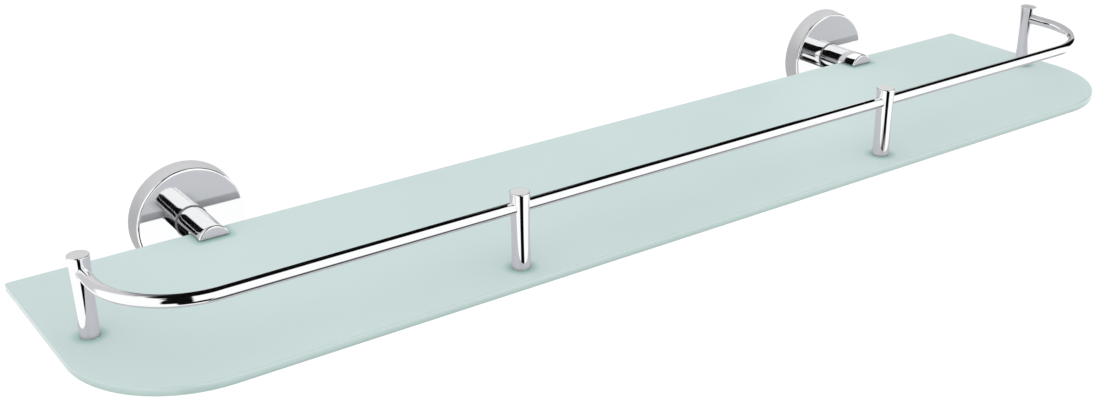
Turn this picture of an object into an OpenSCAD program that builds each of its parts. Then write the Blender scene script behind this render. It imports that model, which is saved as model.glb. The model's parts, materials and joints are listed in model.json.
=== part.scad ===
// Glass wall shelf on two round clamp brackets, with a bent gallery rail on four posts.
// X runs along the shelf, the wall is the plane y = 0, the room is towards -Y, and Z is up.
// The origin lies on the wall, midway between the brackets, at the middle of the glass.

/* [Glass] */
// Length of the glass along the wall
shelf_w = 600; // [500:10:900]
// Depth of the glass from back edge to front edge
shelf_d = 132; // [125:1:160]
// Thickness of the glass
glass_t = 4; // [4:0.5:6]
// Radius of the two front corners
corner_r = 50; // [30:5:55]

/* [Gallery rail] */
// Diameter of the rail bar
rail_d = 5.5; // [5:0.5:6]
// Height of the rail's centreline above the glass
rail_h = 29; // [24:1:40]
// Centreline radius of the two rail bends
rail_bend_r = 38; // [20:1:45]
// Distance of the rail's front run from the front edge of the glass
rail_inset = 13; // [9:1:16]

/* [Posts] */
// Height of a post's flat top above the centreline of the rail
post_top = 7; // [6:0.5:9]
// Diameter of a post at its flat top
post_head_d = 9.2; // [9:0.1:11]
// Diameter of a post at its waist
post_waist_d = 8.1; // [8:0.1:8.6]
// Distance of a front post from the middle of the shelf
front_post_x = 111; // [60:1:140]
// Distance of an end post from the end of the glass
end_post_inset = 15; // [12:1:20]
// Distance of an end post from the back edge of the glass
end_post_back = 68; // [55:1:70]

/* [Brackets] */
// Distance of a bracket from the middle of the shelf
bracket_x = 208; // [150:1:210]
// Diameter of a rosette at the wall
rosette_d = 55; // [54:1:60]
// Depth of a rosette
rosette_t = 10; // [10:0.5:12]
// Diameter of the clamp barrel
clamp_d = 16; // [16:0.5:18]
// Distance from a rosette's face to the tip of its clamp
clamp_reach = 28; // [27:1:32]
// Distance from a rosette's face to the back edge of the glass
glass_gap = 16.5; // [16:0.5:17]

/* [Wall fixing] */
// Diameter of the wall screw holes
wall_hole_d = 5; // [4:0.5:6]
// Height between the two wall screw holes of a bracket
wall_hole_gap = 30; // [28:1:32]

/* [Hidden] */
$fn = 96;
eps = 0.01;

// Rosette shell and the wall plate inside it
rosette_wall = 2;
rosette_face = 2.5;
rosette_edge_r = 1.2;
rosette_draft = 0.8;
plate_t = 4;
plate_clear = 0.3;
plate_r = rosette_d / 2 - rosette_wall - plate_clear;
groove_depth = 0.8;
groove_w = 2;
lock_d = 3;
lock_len = 2.6;

// Clamp: seat ring, barrel, slot, pads and screws
ring_d = clamp_d + 0.6;
ring_t = 0.5;
barrel_edge = 0.3;
tip_r = 1;
slot_slack = 1;
pad_t = 0.8;
pad_w = 12;
release_gap = 0.9;
bolt_d = 6;
bolt_hole_depth = 9.5;
bolt_len = 8;
bolt_head_d = 10;
bolt_head_t = 2.4;
bolt_washer_t = 0.8;
grub_d = 5;
grub_clear = 0.05;
grub_recess = 0.3;
spigot_d = grub_d - 0.1;
spigot_t = 0.8;

// Post hardware, listed from the post downwards
gasket_t = 0.5;
glass_hole_d = 7;
bush_flange_d = 12;
bush_flange_t = 1;
washer_d = 11;
washer_t = 0.8;
post_screw_d = 4;
post_screw_reach = 9;
screw_clear = 0.1;
head_d = 7.6;
head_t = 2.6;
recess_w = 0.9;
recess_l = 4.2;
recess_depth = 1.6;
waist_height = 14;
post_steps = 14;
post_edge = 0.35;
rail_clear = 0.05;
socket_past_axis = 1.6;

// Places worked out from the sizes above
glass_back = -(rosette_t + glass_gap);
glass_front = glass_back - shelf_d;
glass_top = glass_t / 2;
end_x = shelf_w / 2 - end_post_inset;
end_y = glass_back - end_post_back;
rail_y = glass_front + rail_inset;
rail_z = glass_top + rail_h;
post_z = glass_top + gasket_t;
post_h = rail_h + post_top - gasket_t;
POST_PLACES = [[-end_x, end_y], [-front_post_x, rail_y], [front_post_x, rail_y], [end_x, end_y]];

barrel_start = rosette_t + ring_t;
barrel_end = rosette_t + clamp_reach;
slot_start = -glass_back - slot_slack;
slot_top = glass_top + pad_t;
slot_floor = -glass_top - pad_t - release_gap;
jaw_mid = (slot_start + barrel_end) / 2;
pad_back = -glass_back + eps;
pad_front = barrel_end - tip_r;

LEFT = -1;
RIGHT = 1;

// ---- helpers ----

// Turns local +Z to point from the wall into the room, at one bracket
module from_wall(side) {
    translate([side * bracket_x, 0, 0]) rotate([90, 0, 0]) children();
}

// Puts the children at every post
module at_posts() {
    for (place = POST_PLACES) translate([place[0], place[1], 0]) children();
}

module ring(outer_d, inner_d, thick) {
    difference() {
        cylinder(d = outer_d, h = thick);
        translate([0, 0, -eps]) cylinder(d = inner_d, h = thick + 2 * eps);
    }
}

// Hexagon socket of a given width across its flats
module hex_socket(flats, depth) {
    cylinder(d = flats / cos(30), h = depth, $fn = 6);
}

// ---- glass ----

module glass_outline() {
    translate([-shelf_w / 2, glass_front + corner_r]) square([shelf_w, shelf_d - corner_r]);
    translate([-shelf_w / 2 + corner_r, glass_front]) square([shelf_w - 2 * corner_r, corner_r + eps]);
    for (side = [-1, 1])
        translate([side * (shelf_w / 2 - corner_r), glass_front + corner_r]) circle(r = corner_r, $fn = 180);
}

module glass_shelf() {
    color([0.78, 0.87, 0.86])
    difference() {
        translate([0, 0, -glass_t / 2]) linear_extrude(glass_t) glass_outline();
        at_posts() translate([0, 0, -glass_t]) cylinder(d = glass_hole_d, h = 2 * glass_t);
    }
}

// ---- gallery rail ----

// One end of the rail: the leg into the end post, then the bend to the front run
module rail_end(side) {
    mirror([side < 0 ? 1 : 0, 0, 0]) {
        translate([end_x, rail_y + rail_bend_r, rail_z]) rotate([-90, 0, 0])
            cylinder(d = rail_d, h = end_y - rail_y - rail_bend_r + socket_past_axis);
        translate([end_x - rail_bend_r, rail_y + rail_bend_r, rail_z]) rotate([0, 0, -90])
            rotate_extrude(angle = 90, $fn = 180) translate([rail_bend_r, 0]) circle(d = rail_d, $fn = 48);
    }
}

module gallery_rail() {
    run = 2 * (end_x - rail_bend_r);
    color("silver") {
        rail_end(LEFT);
        rail_end(RIGHT);
        translate([-run / 2, rail_y, rail_z]) rotate([0, 90, 0]) cylinder(d = rail_d, h = run, $fn = 48);
    }
}

// ---- posts and their hardware ----

// Radius of a post at height z above its foot: a shallow curve, narrowest at the waist
function post_r(z) =
    let (waist_r = post_waist_d / 2, rise = (z - waist_height) / (post_h - waist_height))
    waist_r + (post_head_d / 2 - waist_r) * rise * rise;

// Half section of a post, with a small chamfer round its flat top
module post_profile() {
    side_h = post_h - post_edge;
    side = [for (i = [0:post_steps]) [post_r(side_h * i / post_steps), side_h * i / post_steps]];
    polygon(concat([[0, 0]], side, [[post_r(side_h) - post_edge, post_h], [0, post_h]]));
}

module post_blank(place) {
    translate([place[0], place[1], post_z]) difference() {
        rotate_extrude() post_profile();
        translate([0, 0, -eps]) cylinder(d = post_screw_d, h = post_screw_reach + 1);
    }
}

// The rail ends in a blind socket that faces the front
module end_post(place) {
    color("silver")
    difference() {
        post_blank(place);
        translate([place[0], place[1] + socket_past_axis, rail_z]) rotate([90, 0, 0])
            cylinder(d = rail_d + 2 * rail_clear, h = post_head_d);
    }
}

// The rail runs right through along X
module front_post(place) {
    color("silver")
    difference() {
        post_blank(place);
        translate([place[0] - post_head_d, place[1], rail_z]) rotate([0, 90, 0])
            cylinder(d = rail_d + 2 * rail_clear, h = 2 * post_head_d);
    }
}

module post_gaskets() {
    color("whitesmoke")
    at_posts() translate([0, 0, glass_top]) ring(post_waist_d, post_screw_d + 2 * screw_clear, gasket_t);
}

module post_bushes() {
    bush_d = glass_hole_d - 2 * screw_clear;
    bore_d = post_screw_d + 2 * screw_clear;
    color("whitesmoke")
    at_posts() difference() {
        union() {
            translate([0, 0, -glass_top]) cylinder(d = bush_d, h = glass_t);
            translate([0, 0, -glass_top - bush_flange_t]) cylinder(d = bush_flange_d, h = bush_flange_t);
        }
        translate([0, 0, -glass_t]) cylinder(d = bore_d, h = 2 * glass_t);
    }
}

module post_washers() {
    color("gainsboro")
    at_posts() translate([0, 0, -glass_top - bush_flange_t - washer_t])
        ring(washer_d, post_screw_d + 4 * screw_clear, washer_t);
}

// Cheese-head screws with a cross recess, driven up from below
module post_screws() {
    seat = -glass_top - bush_flange_t - washer_t;
    color("gainsboro")
    at_posts() difference() {
        union() {
            translate([0, 0, seat - head_t]) cylinder(d = head_d, h = head_t);
            translate([0, 0, seat - eps]) cylinder(d = post_screw_d - screw_clear, h = post_z + post_screw_reach - seat);
        }
        for (turn = [0, 90]) translate([0, 0, seat - head_t]) rotate([0, 0, turn])
            cube([recess_l, recess_w, 2 * recess_depth], center = true);
    }
}

// ---- brackets ----

// Half section of a rosette's outside: slightly tapered side and a rounded front edge
module rosette_outside() {
    back_r = rosette_d / 2;
    front_r = back_r - rosette_draft;
    edge_h = rosette_t - rosette_edge_r;
    polygon([[0, 0], [back_r, 0], [front_r, edge_h], [front_r - rosette_edge_r, rosette_t], [0, rosette_t]]);
    translate([front_r - rosette_edge_r, edge_h]) circle(r = rosette_edge_r, $fn = 64);
}

module rosette(side) {
    hole_r = bolt_d / 2 + 2 * screw_clear;
    color("silver")
    from_wall(side) difference() {
        rotate_extrude($fn = 180) difference() {
            rosette_outside();
            translate([-eps, -eps]) square([rosette_d / 2 - rosette_wall + eps, rosette_t - rosette_face + eps]);
        }
        translate([0, 0, rosette_t / 2]) cylinder(r = hole_r, h = rosette_t);
        translate([0, 0, plate_t / 2]) rotate([90, 0, 0]) cylinder(d = lock_d, h = rosette_d);
    }
}

// Round plate with a groove in its rim for the locking screw and two wall screw holes
module wall_plate(side) {
    color("darkgray")
    from_wall(side) difference() {
        rotate_extrude($fn = 180) difference() {
            square([plate_r, plate_t]);
            translate([plate_r - groove_depth, (plate_t - groove_w) / 2]) square([2 * groove_depth, groove_w]);
        }
        for (row = [-1, 1]) translate([0, row * wall_hole_gap / 2, -eps])
            cylinder(d = wall_hole_d, h = plate_t + 2 * eps);
    }
}

// Headless screw through the underside of the rosette into the plate's groove
module lock_screw(side) {
    tip = -(plate_r - groove_depth / 2);
    color("gray")
    from_wall(side) translate([0, tip, plate_t / 2]) rotate([90, 0, 0]) difference() {
        union() {
            cylinder(d = groove_w - 2 * screw_clear, h = 1);
            translate([0, 0, groove_depth]) cylinder(d = lock_d - screw_clear, h = lock_len - groove_depth);
        }
        translate([0, 0, lock_len - 1.2]) hex_socket(1.5, 2);
    }
}

module seat_ring(side) {
    lip = 0.15;
    color("dimgray")
    from_wall(side) translate([0, 0, rosette_t]) rotate_extrude() difference() {
        polygon([[0, 0], [ring_d / 2 - lip, 0], [ring_d / 2, lip], [ring_d / 2, ring_t - lip],
            [ring_d / 2 - lip, ring_t], [0, ring_t]]);
        square([2 * (bolt_d / 2 + screw_clear), 4 * ring_t], center = true);
    }
}

// Half section of a barrel, with a chamfer at its root and a rounded tip
module barrel_section() {
    barrel_r = clamp_d / 2;
    barrel_len = barrel_end - barrel_start;
    polygon([[0, 0], [barrel_r - barrel_edge, 0], [barrel_r, barrel_edge], [barrel_r, barrel_len - tip_r],
        [barrel_r - tip_r, barrel_len], [0, barrel_len]]);
    translate([barrel_r - tip_r, barrel_len - tip_r]) circle(r = tip_r, $fn = 64);
}

// Round barrel, cut by the slot that takes the glass and its pads
module clamp_barrel(side) {
    color("silver")
    from_wall(side) difference() {
        translate([0, 0, barrel_start]) rotate_extrude() barrel_section();
        translate([-clamp_d, slot_floor, slot_start]) cube([2 * clamp_d, slot_top - slot_floor, clamp_reach]);
        translate([0, 0, barrel_start - eps]) cylinder(d = bolt_d, h = bolt_hole_depth);
        translate([0, slot_floor + eps, jaw_mid]) rotate([90, 0, 0])
            cylinder(d = grub_d + 2 * grub_clear, h = clamp_d / 2);
    }
}

// Joins the barrel to the rosette from inside
module clamp_bolt(side) {
    seat = rosette_t - rosette_face - bolt_washer_t;
    color("gray")
    from_wall(side) difference() {
        union() {
            translate([0, 0, seat - bolt_head_t]) cylinder(d = bolt_head_d, h = bolt_head_t);
            translate([0, 0, seat - eps]) cylinder(d = bolt_d - screw_clear, h = barrel_start - seat + bolt_len);
        }
        translate([0, 0, seat - bolt_head_t - eps]) hex_socket(4, 1.6);
    }
}

module bolt_washer(side) {
    color("gray")
    from_wall(side) translate([0, 0, rosette_t - rosette_face - bolt_washer_t])
        ring(bolt_head_d + 1, bolt_d + 2 * screw_clear, bolt_washer_t);
}

// Liner between the upper jaw and the glass
module upper_pad(side) {
    color("lightgray")
    from_wall(side) translate([-pad_w / 2, glass_top, pad_back]) cube([pad_w, pad_t, pad_front - pad_back]);
}

// Plate under the glass, kept in place by a spigot in the clamp screw's hole
module pressure_pad(side) {
    color("lightgray")
    from_wall(side) {
        translate([-pad_w / 2, -glass_top - pad_t, pad_back]) cube([pad_w, pad_t, pad_front - pad_back]);
        translate([0, -glass_top - pad_t + eps, jaw_mid]) rotate([90, 0, 0]) cylinder(d = spigot_d, h = spigot_t + eps);
    }
}

// Headless screw in the lower jaw that lifts the pressure pad against the glass
module clamp_screw(side) {
    top = -glass_top - pad_t - spigot_t;
    len = clamp_d / 2 + top - grub_recess;
    color("gray")
    from_wall(side) translate([0, top, jaw_mid]) rotate([90, 0, 0]) difference() {
        cylinder(d = grub_d, h = len);
        translate([0, 0, len - 2]) hex_socket(2.5, 3);
    }
}

glass_shelf();
gallery_rail();
end_post(POST_PLACES[0]);  // post_left_end
front_post(POST_PLACES[1]);  // post_left_front
front_post(POST_PLACES[2]);  // post_right_front
end_post(POST_PLACES[3]);  // post_right_end
post_gaskets();
post_bushes();
post_washers();
post_screws();
rosette(LEFT);  // left_rosette
wall_plate(LEFT);  // left_wall_plate
lock_screw(LEFT);  // left_lock_screw
seat_ring(LEFT);  // left_seat_ring
clamp_barrel(LEFT);  // left_clamp_barrel
clamp_bolt(LEFT);  // left_clamp_bolt
bolt_washer(LEFT);  // left_bolt_washer
upper_pad(LEFT);  // left_upper_pad
pressure_pad(LEFT);  // left_pressure_pad
clamp_screw(LEFT);  // left_clamp_screw
rosette(RIGHT);  // right_rosette
wall_plate(RIGHT);  // right_wall_plate
lock_screw(RIGHT);  // right_lock_screw
seat_ring(RIGHT);  // right_seat_ring
clamp_barrel(RIGHT);  // right_clamp_barrel
clamp_bolt(RIGHT);  // right_clamp_bolt
bolt_washer(RIGHT);  // right_bolt_washer
upper_pad(RIGHT);  // right_upper_pad
pressure_pad(RIGHT);  // right_pressure_pad
clamp_screw(RIGHT);  // right_clamp_screw
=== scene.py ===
"""Looks of the glass wall shelf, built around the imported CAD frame."""

import json
import math

import bmesh
import bpy
from mathutils import Matrix, Vector

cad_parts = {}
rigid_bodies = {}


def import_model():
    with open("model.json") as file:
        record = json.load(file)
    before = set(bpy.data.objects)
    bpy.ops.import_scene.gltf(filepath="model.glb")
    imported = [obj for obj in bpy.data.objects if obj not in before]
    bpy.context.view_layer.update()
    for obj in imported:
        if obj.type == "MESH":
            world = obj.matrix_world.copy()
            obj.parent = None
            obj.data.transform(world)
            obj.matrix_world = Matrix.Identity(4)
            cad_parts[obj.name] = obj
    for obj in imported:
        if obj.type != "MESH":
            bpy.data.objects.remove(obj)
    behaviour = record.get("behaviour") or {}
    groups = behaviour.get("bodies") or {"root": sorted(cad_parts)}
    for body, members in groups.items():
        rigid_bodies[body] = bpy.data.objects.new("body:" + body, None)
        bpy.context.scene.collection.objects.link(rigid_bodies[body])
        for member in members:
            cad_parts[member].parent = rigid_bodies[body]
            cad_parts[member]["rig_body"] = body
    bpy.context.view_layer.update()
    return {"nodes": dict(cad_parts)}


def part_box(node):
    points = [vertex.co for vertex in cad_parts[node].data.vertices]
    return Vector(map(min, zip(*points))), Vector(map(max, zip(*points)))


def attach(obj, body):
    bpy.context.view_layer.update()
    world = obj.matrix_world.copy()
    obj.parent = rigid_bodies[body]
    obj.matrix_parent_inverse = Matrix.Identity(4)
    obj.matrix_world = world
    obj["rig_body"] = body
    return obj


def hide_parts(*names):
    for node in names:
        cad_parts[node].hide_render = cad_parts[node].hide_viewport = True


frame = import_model()

MM = 0.001
TAU = 2 * math.pi
SIDES = ("left", "right")
POST_NODES = ("post_left_end", "post_left_front", "post_right_front", "post_right_end")

# Sizes that the CAD boxes don't give, as they are in the CAD
RAIL_BEND_R = 38 * MM
CORNER_R = 50 * MM
GLASS_HOLE_R = 3.5 * MM
POST_WAIST_R = 4.05 * MM
POST_WAIST_HEIGHT = 14 * MM
POST_BORE_R = 2 * MM
POST_BORE_DEPTH = 10 * MM
RAIL_CLEAR = 0.05 * MM
ROSETTE_WALL = 2 * MM
ROSETTE_FACE = 2.5 * MM
ROSETTE_EDGE_R = 1.2 * MM
ROSETTE_DRAFT = 0.8 * MM
BOLT_R = 3 * MM
BOLT_CLEAR = 0.2 * MM
BOLT_HOLE_DEPTH = 9.5 * MM
RING_CLEAR = 0.1 * MM
LOCK_R = 1.5 * MM
LOCK_HEIGHT = 2 * MM
SLOT_SLACK = 1 * MM
RELEASE_GAP = 0.9 * MM
GRUB_HOLE_R = 2.55 * MM

# Roundings and broken edges
GLASS_ARRIS = 0.75 * MM
GLASS_BACK_R = 1.2 * MM
GLASS_HOLE_EDGE = 0.3 * MM
RAIL_END_EDGE = 0.3 * MM
POST_TOP_R = 0.35 * MM
POST_FOOT_R = 0.15 * MM
ROSETTE_LIP = 0.25 * MM
RING_LIP = 0.15 * MM
BARREL_ROOT_R = 0.3 * MM
BARREL_TIP_R = 1 * MM
SLOT_EDGE = 0.15 * MM

TURNED_STEPS = 144
ROSETTE_STEPS = 256
BORE_STEPS = 96
HOLE_STEPS = 48
TUBE_SIDES = 64

OVERCUT = 1 * MM  # how far a cutter stands out of what it cuts
TINY = 1e-9  # less than any distance here, so points that near are the same
ON_AXIS = 1e-7  # so near its axis, a turned body has no direction of its own

# Reach of the painted shade round the fittings, and of the painted shade at the left end of the glass
POST_SHADE_R = 9 * MM
JAW_SHADE = 5 * MM
JAW_CORNER = 1 * MM
END_SHADE = 100 * MM


def centre_of(node):
    low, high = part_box(node)
    return (low + high) / 2


# ---- node helpers ----


def socket_in(tree, socket, value):
    """Links value to the socket if it is an output, and sets it otherwise."""
    if isinstance(value, bpy.types.NodeSocket):
        tree.links.new(value, socket)
    else:
        socket.default_value = value


def math_node(tree, operation, first, second=0.0):
    node = tree.nodes.new("ShaderNodeMath")
    node.operation = operation
    socket_in(tree, node.inputs[0], first)
    socket_in(tree, node.inputs[1], second)
    return node.outputs[0]


def remap(tree, value, low, high, to_low, to_high, kind="LINEAR"):
    node = tree.nodes.new("ShaderNodeMapRange")
    node.interpolation_type = kind
    for socket, number in zip(node.inputs, (value, low, high, to_low, to_high)):
        socket_in(tree, socket, number)
    return node.outputs[0]


def noise(tree, vector, scale, detail=2.0, roughness=0.5):
    node = tree.nodes.new("ShaderNodeTexNoise")
    socket_in(tree, node.inputs["Vector"], vector)
    node.inputs["Scale"].default_value = scale
    node.inputs["Detail"].default_value = detail
    node.inputs["Roughness"].default_value = roughness
    return node.outputs["Fac"]


def stretched(tree, vector, scale):
    node = tree.nodes.new("ShaderNodeMapping")
    socket_in(tree, node.inputs["Vector"], vector)
    node.inputs["Scale"].default_value = scale
    return node.outputs["Vector"]


def split_xyz(tree, vector):
    node = tree.nodes.new("ShaderNodeSeparateXYZ")
    tree.links.new(vector, node.inputs[0])
    return node.outputs


def blend_colour(tree, share, first, second):
    node = tree.nodes.new("ShaderNodeMix")
    node.data_type = "RGBA"
    socket_in(tree, node.inputs["Factor"], share)
    socket_in(tree, node.inputs[6], first)
    socket_in(tree, node.inputs[7], second)
    return node.outputs[2]


def bump(tree, height, distance, strength=1.0):
    node = tree.nodes.new("ShaderNodeBump")
    node.inputs["Strength"].default_value = strength
    node.inputs["Distance"].default_value = distance
    socket_in(tree, node.inputs["Height"], height)
    return node.outputs["Normal"]


def new_material(name):
    """A material with a Principled shader, and its tree, its shader and the object coordinates."""
    material = bpy.data.materials.new(name)
    material.use_nodes = True
    tree = material.node_tree
    tree.nodes.clear()
    output = tree.nodes.new("ShaderNodeOutputMaterial")
    shader = tree.nodes.new("ShaderNodeBsdfPrincipled")
    tree.links.new(shader.outputs["BSDF"], output.inputs["Surface"])
    place = tree.nodes.new("ShaderNodeTexCoord").outputs["Object"]
    return material, tree, shader, place


def rgb(red, green, blue):
    return (red, green, blue, 1.0)


def grey(tone):
    return rgb(tone, tone, tone)


# ---- materials ----


def make_chrome():
    """Mirror plating: faint haze in patches, and polishing lines too fine to see one by one."""
    material, tree, shader, place = new_material("chrome")
    shader.inputs["Metallic"].default_value = 1.0
    haze = noise(tree, place, 90, 4, 0.6)
    lines = noise(tree, stretched(tree, place, (500, 900, 4000)), 1, 3, 0.6)
    tint = blend_colour(tree, haze, rgb(0.86, 0.865, 0.875), rgb(0.9, 0.9, 0.905))
    socket_in(tree, shader.inputs["Base Color"], tint)
    rough = remap(tree, haze, 0.3, 0.7, 0.025, 0.06)
    rough = math_node(tree, "ADD", rough, remap(tree, lines, 0.35, 0.65, 0, 0.02))
    socket_in(tree, shader.inputs["Roughness"], rough)
    socket_in(tree, shader.inputs["Normal"], bump(tree, lines, 0.0004 * MM))
    return material


def painted_fitting_shade(tree, place):
    """1 at the foot of each post and beside each jaw, falling to 0 a few millimetres off: the mask of a
    painted shadow.

    The glass is translucent, so the opaque fittings and the hardware below them shade it there, and this
    mask paints that shade into the glass colour, darker and greener."""
    flat = stretched(tree, place, (1, 1, 0))
    near = 0.0
    for post in POST_NODES:
        spot = centre_of(post)
        distance = tree.nodes.new("ShaderNodeVectorMath")
        distance.operation = "DISTANCE"
        socket_in(tree, distance.inputs[0], flat)
        distance.inputs[1].default_value = (spot.x, spot.y, 0)
        painted_shade = remap(tree, distance.outputs["Value"], POST_WAIST_R, POST_SHADE_R, 1, 0, "SMOOTHSTEP")
        near = math_node(tree, "MAXIMUM", near, painted_shade)
    x, y, _ = split_xyz(tree, place)
    for side in SIDES:
        low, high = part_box(side + "_clamp_barrel")
        across = math_node(tree, "ABSOLUTE", math_node(tree, "SUBTRACT", x, (low.x + high.x) / 2))
        across = math_node(tree, "SUBTRACT", across, (high.x - low.x) / 2 - JAW_CORNER)
        across = math_node(tree, "MAXIMUM", across, 0.0)
        ahead = math_node(tree, "MAXIMUM", math_node(tree, "SUBTRACT", low.y, y), 0.0)
        squares = [math_node(tree, "MULTIPLY", gap, gap) for gap in (across, ahead)]
        away = math_node(tree, "SQRT", math_node(tree, "ADD", *squares))
        near = math_node(tree, "MAXIMUM", near, remap(tree, away, 0, JAW_SHADE, 1, 0, "SMOOTHSTEP"))
    return near


def in_reflection(tree):
    """1 for what is seen in a reflection, and 0 for what is seen directly."""
    return tree.nodes.new("ShaderNodeLightPath").outputs["Is Glossy Ray"]


def make_etched_glass():
    """Satin-etched face of pale green float glass, with the fine tooth of the etch.

    In reflections on mirror finishes it is painted neutral grey in place of its green, a painted reflection
    colour, and painted shade darkens it round the fittings and towards its left end."""
    material, tree, shader, place = new_material("etched_glass")
    cloud = noise(tree, place, 14, 3, 0.55)
    tooth = noise(tree, place, 5200, 2, 0.6)
    tint = blend_colour(tree, cloud, rgb(0.555, 0.672, 0.666), rgb(0.572, 0.688, 0.68))
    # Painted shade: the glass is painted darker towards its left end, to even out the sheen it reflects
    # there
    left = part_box("glass_shelf")[0].x
    left_end = remap(tree, split_xyz(tree, place)["X"], left, left + END_SHADE, 1, 0, "SMOOTHSTEP")
    tint = blend_colour(tree, left_end, tint, rgb(0.525, 0.636, 0.63))
    # Painted shade: the glass is painted darker and greener round the fittings
    painted_shade = math_node(tree, "MULTIPLY", painted_fitting_shade(tree, place), 0.8)
    tint = blend_colour(tree, painted_shade, tint, rgb(0.29, 0.5, 0.43))
    # Painted reflection: rays from mirror finishes see the glass as neutral grey, painted darker round the
    # fittings, instead of its green
    mirrored = blend_colour(tree, painted_shade, rgb(0.515, 0.53, 0.555), rgb(0.36, 0.38, 0.4))
    tint = blend_colour(tree, in_reflection(tree), tint, mirrored)
    socket_in(tree, shader.inputs["Base Color"], tint)
    socket_in(tree, shader.inputs["Roughness"], remap(tree, cloud, 0.3, 0.7, 0.44, 0.52))
    shader.inputs["IOR"].default_value = 1.5
    shader.inputs["Specular IOR Level"].default_value = 0.3
    socket_in(tree, shader.inputs["Normal"], bump(tree, tooth, 0.012 * MM, 0.35))
    return material


def make_glass_edge():
    """Ground and polished edge: deeper green, glossier, with faint lines along the glass."""
    material, tree, shader, place = new_material("polished_glass_edge")
    layers = noise(tree, stretched(tree, place, (12, 12, 2600)), 1, 3, 0.6)
    low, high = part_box("glass_shelf")
    # Painted shade: the edge is painted darker and greener towards its bottom and paler towards its top
    height = remap(tree, split_xyz(tree, place)["Z"], low.z, high.z, 0, 1, "SMOOTHSTEP")
    tint = blend_colour(tree, height, rgb(0.34, 0.46, 0.43), rgb(0.5, 0.61, 0.6))
    worn = blend_colour(tree, height, rgb(0.39, 0.51, 0.48), rgb(0.53, 0.635, 0.625))
    tint = blend_colour(tree, remap(tree, layers, 0.3, 0.7, 0, 1), tint, worn)
    # Painted reflection: rays from mirror finishes see the edge as neutral grey, darker towards its bottom,
    # instead of its green
    mirrored = blend_colour(tree, height, rgb(0.37, 0.38, 0.4), rgb(0.46, 0.47, 0.49))
    tint = blend_colour(tree, in_reflection(tree), tint, mirrored)
    socket_in(tree, shader.inputs["Base Color"], tint)
    socket_in(tree, shader.inputs["Roughness"], remap(tree, layers, 0.3, 0.7, 0.1, 0.2))
    shader.inputs["IOR"].default_value = 1.52
    socket_in(tree, shader.inputs["Normal"], bump(tree, layers, 0.004 * MM, 0.5))
    return material


def make_zinc_steel():
    """Bright zinc-plated steel: slight blue and straw clouding, fine turning lines."""
    material, tree, shader, place = new_material("zinc_plated_steel")
    shader.inputs["Metallic"].default_value = 1.0
    cloud = noise(tree, place, 260, 3, 0.6)
    turning = noise(tree, stretched(tree, place, (300, 300, 9000)), 1, 2, 0.5)
    tint = blend_colour(tree, cloud, rgb(0.56, 0.59, 0.63), rgb(0.68, 0.66, 0.61))
    socket_in(tree, shader.inputs["Base Color"], tint)
    socket_in(tree, shader.inputs["Roughness"], remap(tree, turning, 0.3, 0.7, 0.24, 0.4))
    socket_in(tree, shader.inputs["Normal"], bump(tree, turning, 0.006 * MM, 0.4))
    return material


def make_cast_zinc():
    """Raw die-cast zinc: dull grey, mottled, with a slightly pitted skin."""
    material, tree, shader, place = new_material("cast_zinc")
    shader.inputs["Metallic"].default_value = 0.85
    mottle = noise(tree, place, 180, 4, 0.65)
    pits = noise(tree, place, 1500, 3, 0.6)
    tint = blend_colour(tree, mottle, rgb(0.3, 0.305, 0.315), rgb(0.45, 0.45, 0.455))
    socket_in(tree, shader.inputs["Base Color"], tint)
    socket_in(tree, shader.inputs["Roughness"], remap(tree, mottle, 0.3, 0.7, 0.45, 0.62))
    socket_in(tree, shader.inputs["Normal"], bump(tree, pits, 0.04 * MM, 0.5))
    return material


def make_plastic(name, low, high, rough, grain, depth):
    """Moulded plastic or rubber in two close colours, with a grain of that scale and depth.

    rough is the lowest and the highest roughness. The shader is returned too, for what else it needs."""
    material, tree, shader, place = new_material(name)
    cloud = noise(tree, place, 120, 3, 0.5)
    skin = noise(tree, place, grain, 2, 0.6)
    socket_in(tree, shader.inputs["Base Color"], blend_colour(tree, cloud, low, high))
    socket_in(tree, shader.inputs["Roughness"], remap(tree, skin, 0.3, 0.7, *rough))
    socket_in(tree, shader.inputs["Normal"], bump(tree, skin, depth, 0.5))
    return material, shader


def make_floor_material():
    """Matt white paper, very slightly clouded."""
    material, tree, shader, place = new_material("studio_floor")
    cloud = noise(tree, place, 3, 2, 0.5)
    tint = blend_colour(tree, cloud, grey(0.93), grey(0.95))
    socket_in(tree, shader.inputs["Base Color"], tint)
    socket_in(tree, shader.inputs["Roughness"], remap(tree, cloud, 0.3, 0.7, 0.85, 0.95))
    return material


chrome = make_chrome()
etched_glass = make_etched_glass()
glass_edge = make_glass_edge()
zinc_steel = make_zinc_steel()
cast_zinc = make_cast_zinc()
nylon, nylon_shader = make_plastic(
    "natural_nylon", rgb(0.76, 0.75, 0.7), rgb(0.83, 0.82, 0.78),
    rough=(0.38, 0.5), grain=2400, depth=0.02 * MM,
)
nylon_shader.inputs["Subsurface Weight"].default_value = 0.15
nylon_shader.inputs["Subsurface Scale"].default_value = 1 * MM
vinyl, vinyl_shader = make_plastic(
    "clear_vinyl", rgb(0.62, 0.65, 0.65), rgb(0.7, 0.73, 0.72),
    rough=(0.18, 0.3), grain=1800, depth=0.01 * MM,
)
vinyl_shader.inputs["Transmission Weight"].default_value = 0.35
seal, _ = make_plastic(
    "dark_seal", rgb(0.16, 0.16, 0.165), rgb(0.21, 0.21, 0.215),
    rough=(0.3, 0.42), grain=3000, depth=0.02 * MM,
)


# ---- mesh helpers ----


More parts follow.
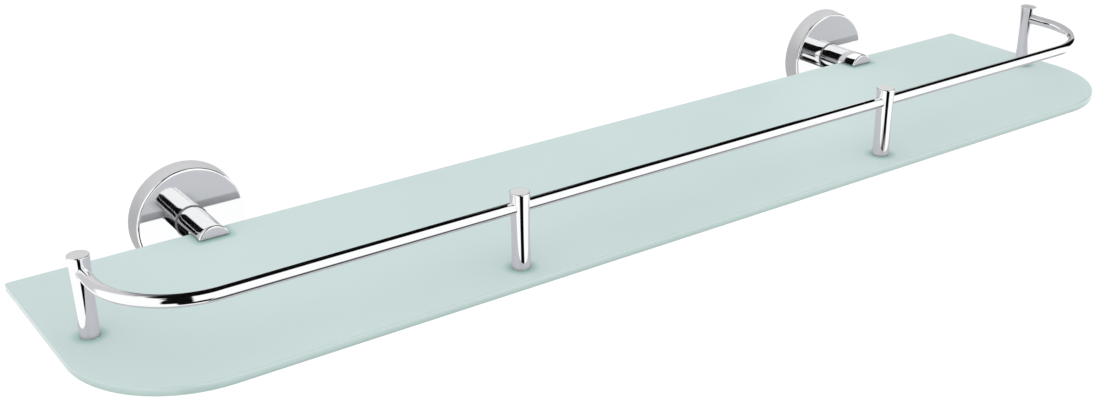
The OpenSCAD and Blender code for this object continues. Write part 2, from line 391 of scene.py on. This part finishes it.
class Lathe:
    """A turned body.

    Its half section is a list of smooth runs of (radius, height) points, and the runs meet in sharp corners.
    base places the local frame, in which the axis is Z, in the shared frame."""

    def __init__(self, runs, base, steps=TURNED_STEPS, closed=False):
        self.base = base
        self.steps = steps
        self.closed = closed
        self.points = []
        self.segments = []
        for run in runs:
            start = run[0]
            if not self.points or not same_point(start, self.points[-1]):
                self.points.append(start)
            self.points.extend(run[1:])
            self.segments.extend(self._run_segments(run))
        if closed and same_point(self.points[0], self.points[-1]):
            self.points.pop()

    @staticmethod
    def _run_segments(run):
        """Each segment of a run, as its two ends and the smooth normals there."""
        points = [Vector(point) for point in run]
        facings = []
        for start, end in zip(points, points[1:]):
            along = (end - start).normalized()
            facings.append(Vector((along.y, -along.x)))
        normals = [facings[0]]
        for before, after in zip(facings, facings[1:]):
            normals.append((before + after).normalized())
        normals.append(facings[-1])
        return list(zip(points, points[1:], normals, normals[1:]))

    def mesh(self):
        """A bmesh of the turned body in the shared frame."""
        bm = bmesh.new()
        rings = []
        for radius, height in self.points:
            if radius < TINY:
                rings.append([bm.verts.new((0, 0, height))])
                continue
            ring = []
            for i in range(self.steps):
                angle = TAU * i / self.steps
                ring.append(bm.verts.new((radius * math.cos(angle), radius * math.sin(angle), height)))
            rings.append(ring)
        pairs = list(zip(rings, rings[1:]))
        if self.closed:
            pairs.append((rings[-1], rings[0]))
        for low, high in pairs:
            for i in range(self.steps):
                after = (i + 1) % self.steps
                corners = [low[i % len(low)], low[after % len(low)]]
                corners += [high[after % len(high)], high[i % len(high)]]
                bm.faces.new(list(dict.fromkeys(corners)))  # a corner on the axis is there twice
        bmesh.ops.recalc_face_normals(bm, faces=bm.faces)
        bm.transform(self.base)
        return bm

    def normal(self, centre):
        """A function from a point to the body's smooth normal, on the segment nearest to centre."""
        back = self.base.inverted()
        local = back @ centre
        spot = Vector((math.hypot(local.x, local.y), local.z))
        start, end, first, last = min(self.segments, key=lambda part: gap_to_segment(spot, *part[:2]))
        turn = self.base.to_3x3()

        def at(point):
            here = back @ point
            flat = Vector((math.hypot(here.x, here.y), here.z))
            out = first.lerp(last, share_along(flat, start, end)).normalized()
            aside = here if flat.x > ON_AXIS else local
            angle = math.atan2(aside.y, aside.x)
            return (turn @ Vector((out.x * math.cos(angle), out.x * math.sin(angle), out.y))).normalized()

        return at


def same_point(first, second):
    return (Vector(first) - Vector(second)).length < TINY


def share_along(spot, start, end):
    """How far along the segment the spot lies, from 0 at its start to 1 at its end."""
    share = (spot - start).dot(end - start) / (end - start).length_squared
    return min(max(share, 0), 1)


def gap_to_segment(spot, start, end):
    return (start.lerp(end, share_along(spot, start, end)) - spot).length


def steps_between(start, end, count):
    """The count + 1 evenly spaced numbers from start to end."""
    return [start + (end - start) * i / count for i in range(count + 1)]


def arc(centre, radius, start, end, steps):
    """2D points on an arc, with angles in degrees."""
    points = []
    for degrees in steps_between(start, end, steps):
        angle = math.radians(degrees)
        points.append((centre[0] + radius * math.cos(angle), centre[1] + radius * math.sin(angle)))
    return points


def rod(base, radius, start, end, steps=BORE_STEPS):
    """A plain turned rod, as a cutter for bores."""
    outline = [(0, start), (radius, start), (radius, end), (0, end)]
    return Lathe([list(side) for side in zip(outline, outline[1:])], base, steps)


def skin_loops(bm, loops):
    """Quads between each loop of vertices and the next."""
    faces = []
    for upper, lower in zip(loops, loops[1:]):
        for i in range(len(upper)):
            after = (i + 1) % len(upper)
            faces.append(bm.faces.new((upper[i], lower[i], lower[after], upper[after])))
    return faces


def box_mesh(low, high):
    bm = bmesh.new()
    bmesh.ops.create_cube(bm, size=1)
    size = Vector(high) - Vector(low)
    middle = (Vector(high) + Vector(low)) / 2
    bm.transform(Matrix.Translation(middle) @ Matrix.Diagonal((*size, 1)))
    return bm


def to_object(bm, name):
    mesh = bpy.data.meshes.new(name)
    bm.to_mesh(mesh)
    bm.free()
    thing = bpy.data.objects.new(name, mesh)
    bpy.context.scene.collection.objects.link(thing)
    return thing


def cut(thing, cutters):
    """Takes the cutters' solids out of the thing, and removes them."""
    for cutter_mesh in cutters:
        cutter = to_object(cutter_mesh, "cutter")
        step = thing.modifiers.new("cut", "BOOLEAN")
        step.object = cutter
        step.operation = "DIFFERENCE"
        step.solver = "EXACT"
        bpy.context.view_layer.update()
        evaluated = thing.evaluated_get(bpy.context.evaluated_depsgraph_get())
        cut_mesh = bpy.data.meshes.new_from_object(evaluated)
        thing.modifiers.clear()
        old = thing.data
        thing.data = cut_mesh
        bpy.data.meshes.remove(old)
        bpy.data.objects.remove(cutter)


def soften_edges(thing, picked, width):
    """A narrow rounding on the edges that picked(edge) chooses."""
    bm = bmesh.new()
    bm.from_mesh(thing.data)
    edges = [edge for edge in bm.edges if len(edge.link_faces) == 2 and picked(edge)]
    bmesh.ops.bevel(
        bm, geom=edges, offset=width, segments=2, profile=0.5, affect="EDGES", clamp_overlap=True
    )
    bm.to_mesh(thing.data)
    bm.free()


def shade_turned(thing, bodies, limit=0.985):
    """Gives each face the exact normals of the turned body it lies on, and leaves the other faces flat.

    bodies is a list of (Lathe, facing), where facing is 1 for the piece's own body and -1 for a cutter.
    A face lies on a body when the cosine between their normals is above limit."""
    mesh = thing.data
    normals = [None] * len(mesh.loops)
    for face in mesh.polygons:
        face.use_smooth = True
        centre = face.center
        best, field = limit, None
        for body, facing in bodies:
            at = body.normal(centre)
            match = facing * at(centre).dot(face.normal)
            if match > best:
                best, field = match, (at, facing)
        for loop in face.loop_indices:
            if field is None:
                normals[loop] = face.normal.copy()
            else:
                point = mesh.vertices[mesh.loops[loop].vertex_index].co
                normals[loop] = field[0](point) * field[1]
    mesh.normals_split_custom_set(normals)


def dress(thing, material, slot, *nodes):
    """Finishes a piece: its material, its body, and the CAD nodes it stands for, which it hides. The slot is
    not used.
    """
    thing.data.materials.clear()
    thing.data.materials.append(material)
    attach(thing, frame["nodes"][nodes[0]]["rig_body"])
    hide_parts(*nodes)


def turned_about(place, degrees, axis):
    return Matrix.Translation(place) @ Matrix.Rotation(math.radians(degrees), 4, axis)


def from_wall(x, z):
    """Local Z points from the wall into the room, and local Y points up."""
    return turned_about((x, 0, z), 90, "X")


# ---- glass ----


def glass_loop(inset, low, high):
    """The glass outline drawn in by inset, counterclockwise from the back left corner, as 2D points."""
    corners = [
        (low.x, high.y, 90, GLASS_BACK_R, 6, 1, -1),
        (low.x, low.y, 180, CORNER_R, 64, 1, 1),
        (high.x, low.y, 270, CORNER_R, 64, -1, 1),
        (high.x, high.y, 0, GLASS_BACK_R, 6, -1, -1),
    ]
    points = []
    for x, y, start, radius, steps, inward_x, inward_y in corners:
        middle = (x + inward_x * radius, y + inward_y * radius)
        points.extend(arc(middle, radius - inset, start, start + 90, steps))
    return points


def edge_profile(thick):
    """(inset, height) down the ground edge: a flat band between two rounded arrises."""
    upper = []
    for angle in steps_between(0, math.pi / 2, 5):
        inset = GLASS_ARRIS * (1 - math.sin(angle))
        upper.append((inset, thick / 2 - GLASS_ARRIS * (1 - math.cos(angle))))
    return upper + [(inset, -height) for inset, height in reversed(upper)]


def close_loop(bm, loop):
    """The edges round a loop of vertices, found or made."""
    edges = []
    for pair in zip(loop, loop[1:] + loop[:1]):
        edges.append(bm.edges.get(pair) or bm.edges.new(pair))
    return edges


def make_glass():
    """The pane with its ground edge and its post holes. The smooth faces are the edge and the holes."""
    low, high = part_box("glass_shelf")
    half = (high.z - low.z) / 2
    middle = (high.z + low.z) / 2
    bm = bmesh.new()
    loops = []
    for inset, height in edge_profile(high.z - low.z):
        outline = glass_loop(inset, low, high)
        loops.append([bm.verts.new((x, y, middle + height)) for x, y in outline])
    rim = skin_loops(bm, loops)
    top_edges = close_loop(bm, loops[0])
    bottom_edges = close_loop(bm, loops[-1])
    edge = GLASS_HOLE_EDGE
    wall = ((edge, half), (0, half - edge), (0, edge - half), (edge, -half))
    for post in POST_NODES:
        spot = centre_of(post)
        rings = []
        for extra, height in wall:
            ring = []
            for angle in steps_between(0, -TAU, HOLE_STEPS)[:-1]:
                x = spot.x + (GLASS_HOLE_R + extra) * math.cos(angle)
                y = spot.y + (GLASS_HOLE_R + extra) * math.sin(angle)
                ring.append(bm.verts.new((x, y, middle + height)))
            rings.append(ring)
        rim.extend(skin_loops(bm, rings))
        top_edges.extend(close_loop(bm, rings[0]))
        bottom_edges.extend(close_loop(bm, rings[-1]))
    rim = set(rim)
    for edges in (top_edges, bottom_edges):
        bmesh.ops.triangle_fill(bm, use_beauty=True, use_dissolve=False, edges=edges)
    bmesh.ops.recalc_face_normals(bm, faces=bm.faces)
    for face in bm.faces:
        face.smooth = face in rim
    glass = to_object(bm, "glass_panel")
    dress(glass, etched_glass, "frosted_glass", "glass_shelf")
    glass.data.materials.append(glass_edge)
    for face in glass.data.polygons:
        face.material_index = 1 if face.use_smooth else 0


# ---- gallery rail ----


def rail_path():
    """The tube's centre line from the left end to the right one, as 2D points."""
    low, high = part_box("gallery_rail")
    radius = (high.z - low.z) / 2
    end_x = high.x - radius
    run_y = low.y + radius
    bend_x, bend_y = end_x - RAIL_BEND_R, run_y + RAIL_BEND_R
    right = [(bend_x * x, run_y) for x in steps_between(0, 1, 12)[:-1]]
    right += arc((bend_x, bend_y), RAIL_BEND_R, 270, 360, 48)
    right += [(end_x, y) for y in steps_between(bend_y, high.y, 8)[1:-1]]
    right += [(end_x, high.y - RAIL_END_EDGE), (end_x, high.y)]
    return [(-x, y) for x, y in reversed(right[1:])] + right


def make_rail():
    """The tube swept along its path, with a broken edge at each end."""
    low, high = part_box("gallery_rail")
    radius = (high.z - low.z) / 2
    height = (high.z + low.z) / 2
    path = rail_path()
    bm = bmesh.new()
    loops = []
    for i, (x, y) in enumerate(path):
        before = path[max(i - 1, 0)]
        after = path[min(i + 1, len(path) - 1)]
        along = Vector((after[0] - before[0], after[1] - before[1], 0)).normalized()
        out = along.cross(Vector((0, 0, 1)))
        size = radius - (RAIL_END_EDGE if i in (0, len(path) - 1) else 0)
        loop = []
        for angle in steps_between(0, TAU, TUBE_SIDES)[:-1]:
            offset = out * (size * math.cos(angle)) + Vector((0, 0, size * math.sin(angle)))
            loop.append(bm.verts.new(Vector((x, y, height)) + offset))
        loops.append(loop)
    tube = skin_loops(bm, loops)
    caps = [bm.faces.new(loops[0]), bm.faces.new(loops[-1])]
    bmesh.ops.recalc_face_normals(bm, faces=bm.faces)
    for face in tube:
        face.smooth = True
    for face in caps:
        face.smooth = False
    dress(to_object(bm, "rail_tube"), chrome, "chrome", "gallery_rail")


# ---- posts ----


def make_post(node):
    """A waisted post with a flat top, bored from below for its screw, and for the rail.

    The rail passes through the front posts, and ends in the end posts."""
    low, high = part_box(node)
    spot = (low + high) / 2
    head_r = (high.x - low.x) / 2
    tall = high.z - low.z
    rail_low, rail_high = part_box("gallery_rail")
    rail_r = (rail_high.z - rail_low.z) / 2
    rail_z = (rail_high.z + rail_low.z) / 2

    def radius(height):
        rise = (height - POST_WAIST_HEIGHT) / (tall - POST_WAIST_HEIGHT)
        return POST_WAIST_R + (head_r - POST_WAIST_R) * rise * rise

    side = [(radius(height), height) for height in steps_between(POST_FOOT_R, tall - POST_TOP_R, 40)]
    foot_flat_r = side[0][0] - POST_FOOT_R
    top_flat_r = side[-1][0] - POST_TOP_R
    runs = [
        [(0, 0), (foot_flat_r, 0)],
        arc((foot_flat_r, POST_FOOT_R), POST_FOOT_R, -90, 0, 3)[:-1] + side,
        arc((top_flat_r, tall - POST_TOP_R), POST_TOP_R, 0, 90, 5),
        [(top_flat_r, tall), (0, tall)],
    ]
    upright = Matrix.Translation((spot.x, spot.y, low.z))
    body = Lathe(runs, upright)
    piece = to_object(body.mesh(), node + "_turned")
    bore = rod(upright, POST_BORE_R, -OVERCUT, POST_BORE_DEPTH)
    if "front" in node:
        across = turned_about((spot.x, spot.y, rail_z), 90, "Y")
        hole = rod(across, rail_r + RAIL_CLEAR, -2 * head_r, 2 * head_r)
    else:
        forward = turned_about((spot.x, rail_high.y, rail_z), 90, "X")
        hole = rod(forward, rail_r + RAIL_CLEAR, 0, 3 * head_r)
    cut(piece, [bore.mesh(), hole.mesh()])
    shade_turned(piece, [(body, 1), (bore, -1), (hole, -1)])
    dress(piece, chrome, "chrome", node)


# ---- brackets ----


def make_rosette(side):
    """A hollow round cover with a slightly conical side, a hole for the bolt and one for the lock screw."""
    node = side + "_rosette"
    low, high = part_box(node)
    spot = (low + high) / 2
    back_r = (high.x - low.x) / 2
    deep = high.y - low.y
    front_r = back_r - ROSETTE_DRAFT
    edge_h = deep - ROSETTE_EDGE_R
    inside_r = back_r - ROSETTE_WALL
    inside_h = deep - ROSETTE_FACE
    hole_r = BOLT_R + BOLT_CLEAR
    lip = ROSETTE_LIP
    lean = math.degrees(math.atan2(ROSETTE_DRAFT, edge_h))
    face_r = front_r - ROSETTE_EDGE_R
    rounding = arc((face_r, edge_h), ROSETTE_EDGE_R, lean, 90, 10)
    runs = [
        [(inside_r, 0), (back_r - lip, 0)],
        [(back_r - lip, 0), (back_r, lip), rounding[0]],
        rounding,
        [(face_r, deep), (hole_r + lip, deep)],
        [(hole_r + lip, deep), (hole_r, deep - lip)],
        [(hole_r, deep - lip), (hole_r, inside_h)],
        [(hole_r, inside_h), (inside_r - lip, inside_h)],
        arc((inside_r - lip, inside_h - lip), lip, 90, 0, 3),
        [(inside_r, inside_h - lip), (inside_r, 0)],
    ]
    body = Lathe(runs, from_wall(spot.x, spot.z), steps=ROSETTE_STEPS, closed=True)
    piece = to_object(body.mesh(), side + "_rosette_shell")
    down = turned_about((spot.x, -LOCK_HEIGHT, spot.z), 180, "X")
    hole = rod(down, LOCK_R, back_r / 2, 2 * back_r, HOLE_STEPS)
    cut(piece, [hole.mesh()])
    shade_turned(piece, [(body, 1), (hole, -1)])
    dress(piece, chrome, "chrome", node)


def make_seat_ring(side):
    """The flat grey seal between rosette and barrel."""
    node = side + "_seat_ring"
    low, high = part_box(node)
    spot = (low + high) / 2
    outer_r = (high.x - low.x) / 2
    start, end = -high.y, -low.y
    flat_r = outer_r - RING_LIP
    bore_r = BOLT_R + RING_CLEAR
    runs = [
        [(bore_r, start), (flat_r, start)],
        arc((flat_r, start + RING_LIP), RING_LIP, -90, 0, 5)
        + arc((flat_r, end - RING_LIP), RING_LIP, 0, 90, 5),
        [(flat_r, end), (bore_r, end)],
        [(bore_r, end), (bore_r, start)],
    ]
    body = Lathe(runs, from_wall(spot.x, spot.z), closed=True)
    piece = to_object(body.mesh(), side + "_root_seal")
    shade_turned(piece, [(body, 1)])
    dress(piece, seal, "dark_seal", node)


def make_barrel(side):
    """The turned barrel, slotted for the glass and its pads, bored for the bolt and the clamp screw."""
    node = side + "_clamp_barrel"
    low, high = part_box(node)
    glass_low, glass_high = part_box("glass_shelf")
    _, upper_pad_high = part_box(side + "_upper_pad")
    screw_spot = centre_of(side + "_clamp_screw")
    spot = (low + high) / 2
    radius = (high.x - low.x) / 2
    start, end = -high.y, -low.y
    root_flat_r = radius - BARREL_ROOT_R
    tip_flat_r = radius - BARREL_TIP_R
    runs = [
        [(0, start), (root_flat_r, start)],
        arc((root_flat_r, start + BARREL_ROOT_R), BARREL_ROOT_R, -90, 0, 4)
        + [(radius, height) for height in steps_between(start, end, 6)[1:-1]]
        + arc((tip_flat_r, end - BARREL_TIP_R), BARREL_TIP_R, 0, 90, 10),
        [(tip_flat_r, end), (0, end)],
    ]
    outward = from_wall(spot.x, spot.z)
    body = Lathe(runs, outward)
    piece = to_object(body.mesh(), side + "_clamp_jaws")
    slot_top = upper_pad_high.z
    slot_floor = glass_low.z - (upper_pad_high.z - glass_high.z) - RELEASE_GAP
    slot_back = glass_high.y + SLOT_SLACK
    slot_low = (spot.x - 2 * radius, 2 * low.y, slot_floor)
    slot_high = (spot.x + 2 * radius, slot_back, slot_top)
    cut(piece, [box_mesh(slot_low, slot_high)])

    def is_slot_wall(face):
        return abs(face.normal.z) > 0.999 and abs(face.calc_center_median().z) < radius - BARREL_TIP_R

    def is_outer_slot_edge(edge):
        walls = [face for face in edge.link_faces if is_slot_wall(face)]
        return len(walls) == 1 and all(abs(end.co.y - slot_back) > 0.01 * MM for end in edge.verts)

    soften_edges(piece, is_outer_slot_edge, SLOT_EDGE)
    bore = rod(outward, BOLT_R, start - OVERCUT, start + BOLT_HOLE_DEPTH)
    screw_axis = Matrix.Translation((screw_spot.x, screw_spot.y, 0))
    grub = rod(screw_axis, GRUB_HOLE_R, 2 * low.z, slot_floor + OVERCUT)
    cut(piece, [bore.mesh(), grub.mesh()])
    shade_turned(piece, [(body, 1), (bore, -1), (grub, -1)])
    dress(piece, chrome, "chrome", node)


make_glass()
make_rail()
for post_node in POST_NODES:
    make_post(post_node)
for bracket_side in SIDES:
    make_rosette(bracket_side)
    make_seat_ring(bracket_side)
    make_barrel(bracket_side)

# ---- CAD nodes that stay, with their own finishes ----

KEPT = {
    "post_gaskets": vinyl,
    "post_bushes": nylon,
    "post_washers": zinc_steel,
    "post_screws": zinc_steel,
}
KEPT_IN_BRACKET = {
    "_wall_plate": cast_zinc,
    "_lock_screw": zinc_steel,
    "_clamp_bolt": zinc_steel,
    "_bolt_washer": zinc_steel,
    "_upper_pad": vinyl,
    "_pressure_pad": vinyl,
    "_clamp_screw": zinc_steel,
}
for bracket_side in SIDES:
    for part_name, finish in KEPT_IN_BRACKET.items():
        KEPT[bracket_side + part_name] = finish
for kept_node, finish in KEPT.items():
    kept = frame["nodes"][kept_node]
    kept.data.materials.clear()
    kept.data.materials.append(finish)

# ---- floor, light and camera ----

FLOOR_Z = -0.45
FLOOR_HALF = 12

# The camera solved from the glass outline: place in metres, lens in mm, and yaw, pitch and roll in degrees
CAMERA_PLACE = (-0.4232, -0.6259, 0.2860)
CAMERA_LENS = 47.954
CAMERA_TURN = (34.27, 23.80, -0.83)


def make_floor():
    """A white floor far below, which reflections don't see."""
    bm = bmesh.new()
    bmesh.ops.create_grid(bm, x_segments=8, y_segments=8, size=FLOOR_HALF)
    bm.transform(Matrix.Translation((0, 0, FLOOR_Z)))
    floor = to_object(bm, "floor")
    floor.data.materials.append(make_floor_material())
    floor.visible_glossy = False


def band(tree, value, low, high, soft):
    """1 between low and high, in degrees, falling to 0 round each end, soft degrees either way."""
    rise = remap(tree, value, low - soft, low + soft, 0, 1, "SMOOTHSTEP")
    fall = remap(tree, value, high - soft, high + soft, 1, 0, "SMOOTHSTEP")
    return math_node(tree, "MULTIPLY", rise, fall)


def toward_spot(tree, toward, direction, inner, outer):
    """1 within inner degrees of the direction, falling to 0 at outer degrees."""
    dot = tree.nodes.new("ShaderNodeVectorMath")
    dot.operation = "DOT_PRODUCT"
    socket_in(tree, dot.inputs[0], toward)
    dot.inputs[1].default_value = direction
    near, far = math.cos(math.radians(inner)), math.cos(math.radians(outer))
    return remap(tree, dot.outputs["Value"], far, near, 0, 1, "SMOOTHSTEP")


# Grey and black flats that only reflections see: azimuth from +Y towards +X and elevation, each low and
# high, then the softness of the edge, all in degrees, and the tone. OPEN is past the zenith or the nadir, so
# the flat has no edge there. Azimuths are counted up from SEAM, and each flat lies over those before it.
SEAM = -110
OPEN = 120
BLACK = 0.002
FLATS = (
    (-50, 16, -22, 64, 3.0, 0.6),
    (60, 168, -OPEN, -33, 3.5, 0.28),
    (128, 172, -62, -32, 3.0, 0.08),
    (36, 52, -12, 16, 2.0, 0.3),
    (16.5, 104, 15, OPEN, 1.5, BLACK),
    (16.5, 37, -12, 18, 1.5, BLACK),
    (8, 20, 35, OPEN, 2.0, BLACK),
    (-12, 20, 52, OPEN, 2.5, BLACK),
    (-400, 400, 67, OPEN, 2.0, BLACK),
    (195, 229, -20, OPEN, 2.0, BLACK),
    (195, 240, 48, OPEN, 2.0, BLACK),
    (173, 213, -50, -19, 1.5, BLACK),
)
FLAT_BLUE = 1.03  # the flats' blue, as a share of their tone
POST_TOP_TONE = 0.7
POST_TOP_SPOT = (1.5, 3)  # degrees from the middle of the spot to where it starts to fade, and to its end
ROOM_STRENGTH = 1.12


def make_world():
    """A white room. Reflections see it with dark flats, as in a studio, and the post tops see pale grey."""
    world = bpy.data.worlds.new("studio")
    bpy.context.scene.world = world
    world.use_nodes = True
    tree = world.node_tree
    tree.nodes.clear()
    output = tree.nodes.new("ShaderNodeOutputWorld")
    background = tree.nodes.new("ShaderNodeBackground")
    tree.links.new(background.outputs["Background"], output.inputs["Surface"])
    toward = tree.nodes.new("ShaderNodeTexCoord").outputs["Generated"]
    x, y, z = split_xyz(tree, toward)
    azimuth = math_node(tree, "DEGREES", math_node(tree, "ARCTAN2", x, y))
    azimuth = math_node(tree, "SUBTRACT", azimuth, SEAM)
    azimuth = math_node(tree, "ADD", math_node(tree, "FLOORED_MODULO", azimuth, 360.0), SEAM)
    elevation = math_node(tree, "DEGREES", math_node(tree, "ARCSINE", z))
    mirrored = in_reflection(tree)
    colour = grey(1)
    for az_low, az_high, el_low, el_high, soft, tone in FLATS:
        wide = band(tree, azimuth, az_low, az_high, soft)
        tall = band(tree, elevation, el_low, el_high, soft)
        patch = math_node(tree, "MULTIPLY", math_node(tree, "MULTIPLY", wide, tall), mirrored)
        colour = blend_colour(tree, patch, colour, rgb(tone, tone, tone * FLAT_BLUE))
    for post in POST_NODES:
        _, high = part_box(post)
        spot = centre_of(post)
        sight = (Vector((spot.x, spot.y, high.z)) - Vector(CAMERA_PLACE)).normalized()
        patch = toward_spot(tree, toward, (sight.x, sight.y, -sight.z), *POST_TOP_SPOT)
        patch = math_node(tree, "MULTIPLY", patch, mirrored)
        colour = blend_colour(tree, patch, colour, grey(POST_TOP_TONE))
    tree.links.new(colour, background.inputs["Color"])
    background.inputs["Strength"].default_value = ROOM_STRENGTH


def card_material(name, tone_low, tone_high, z_low, z_high):
    """Emission that goes from one tone to another with height, between z_low and z_high."""
    material, tree, shader, place = new_material(name)
    shader.inputs["Base Color"].default_value = grey(0)
    shader.inputs["Specular IOR Level"].default_value = 0
    shader.inputs["Roughness"].default_value = 1
    shader.inputs["Emission Color"].default_value = rgb(1, 1, 1.02)
    height = split_xyz(tree, place)["Z"]
    tone = remap(tree, height, z_low, z_high, tone_low, tone_high, "SMOOTHSTEP")
    socket_in(tree, shader.inputs["Emission Strength"], tone)
    return material


def make_card(name, corners, material):
    """A flat card that only reflections see."""
    bm = bmesh.new()
    bm.faces.new([bm.verts.new(corner) for corner in corners])
    card = to_object(bm, name)
    card.data.materials.append(material)
    card.visible_camera = False
    card.visible_diffuse = False
    card.visible_transmission = False
    card.visible_volume_scatter = False
    card.visible_shadow = False


def make_board(name, low, high, material):
    """A rectangular card from one corner to the other, either upright across the shelf or level."""
    beside = (high[0], low[1], low[2])
    opposite = (low[0], high[1], high[2])
    make_card(name, [low, beside, high, opposite], material)


DISC_R = 45.5 * MM
DISC_Y = 3 * MM
BOARD_Y = 4 * MM
RAIL_BOARD_Y = -60 * MM
RUN_BOARD_Z = 46 * MM
ALL_HEIGHTS = (0, 100 * MM)


def make_bracket_cards():
    """A pale disc behind each rosette, and a white and a black board behind the right bracket."""
    disc_grey = card_material("card_pale", 0.5, 0.7, 4 * MM, 36 * MM)
    white = card_material("card_white", 1.1, 1.15, *ALL_HEIGHTS)
    black = card_material("card_black", 0.002, 0.003, *ALL_HEIGHTS)
    for side in SIDES:
        middle = centre_of(side + "_rosette").x
        disc = [(middle + across, DISC_Y, z) for across, z in arc((0, 0), DISC_R, 0, 360, 96)[:-1]]
        make_card("card_" + side, disc, disc_grey)
    middle = centre_of("right_rosette").x
    meet = middle - 20 * MM
    make_board("card_top", (meet, BOARD_Y, 30 * MM), (middle + 50 * MM, BOARD_Y, 90 * MM), white)
    make_board("card_dark", (middle - 90 * MM, BOARD_Y, 0), (meet, BOARD_Y, 80 * MM), black)


def make_rail_cards():
    """A level board over the rail's right side run, and an upright one behind the left end post."""
    run_grey = card_material("card_run_grey", 0.52, 0.54, *ALL_HEIGHTS)
    run_low, run_high = (268 * MM, -125 * MM, RUN_BOARD_Z), (310 * MM, RAIL_BOARD_Y, RUN_BOARD_Z)
    make_board("card_run", run_low, run_high, run_grey)
    leg_grey = card_material("card_leg_grey", 0.6, 0.74, 44 * MM, 56 * MM)
    leg_low, leg_high = (-300 * MM, RAIL_BOARD_Y, 20 * MM), (-254 * MM, RAIL_BOARD_Y, 75 * MM)
    make_board("card_leg", leg_low, leg_high, leg_grey)


def make_light(name, place, toward, size, power):
    """A square area light, which reflections don't see."""
    data = bpy.data.lights.new(name, "AREA")
    data.shape = "SQUARE"
    data.size = size
    data.energy = power
    light = bpy.data.objects.new(name, data)
    bpy.context.scene.collection.objects.link(light)
    light.location = place
    light.rotation_mode = "QUATERNION"
    light.rotation_quaternion = (Vector(toward) - Vector(place)).to_track_quat("-Z", "Y")
    light.visible_glossy = False


def make_camera():
    """The photo's camera."""
    data = bpy.data.cameras.new("camera")
    data.sensor_fit = "HORIZONTAL"
    data.sensor_width = 36
    data.lens = CAMERA_LENS
    data.clip_start = 10 * MM
    data.clip_end = 100
    camera = bpy.data.objects.new("camera", data)
    bpy.context.scene.collection.objects.link(camera)
    yaw, pitch, roll = (math.radians(angle) for angle in CAMERA_TURN)
    ahead = Vector((math.sin(yaw) * math.cos(pitch), math.cos(yaw) * math.cos(pitch), -math.sin(pitch)))
    level = Vector((math.cos(yaw), -math.sin(yaw), 0))
    above = level.cross(ahead)
    right = math.cos(roll) * level + math.sin(roll) * above
    up = math.cos(roll) * above - math.sin(roll) * level
    turn = Matrix((right, up, -ahead)).transposed()
    camera.matrix_world = Matrix.Translation(CAMERA_PLACE) @ turn.to_4x4()
    bpy.context.scene.camera = camera


make_floor()
make_world()
make_bracket_cards()
make_rail_cards()
make_light("key", place=(-0.9, -1.1, 1.6), toward=(0, -0.1, 0), size=1.4, power=2)
make_camera()
bpy.context.scene.view_settings.view_transform = "Standard"
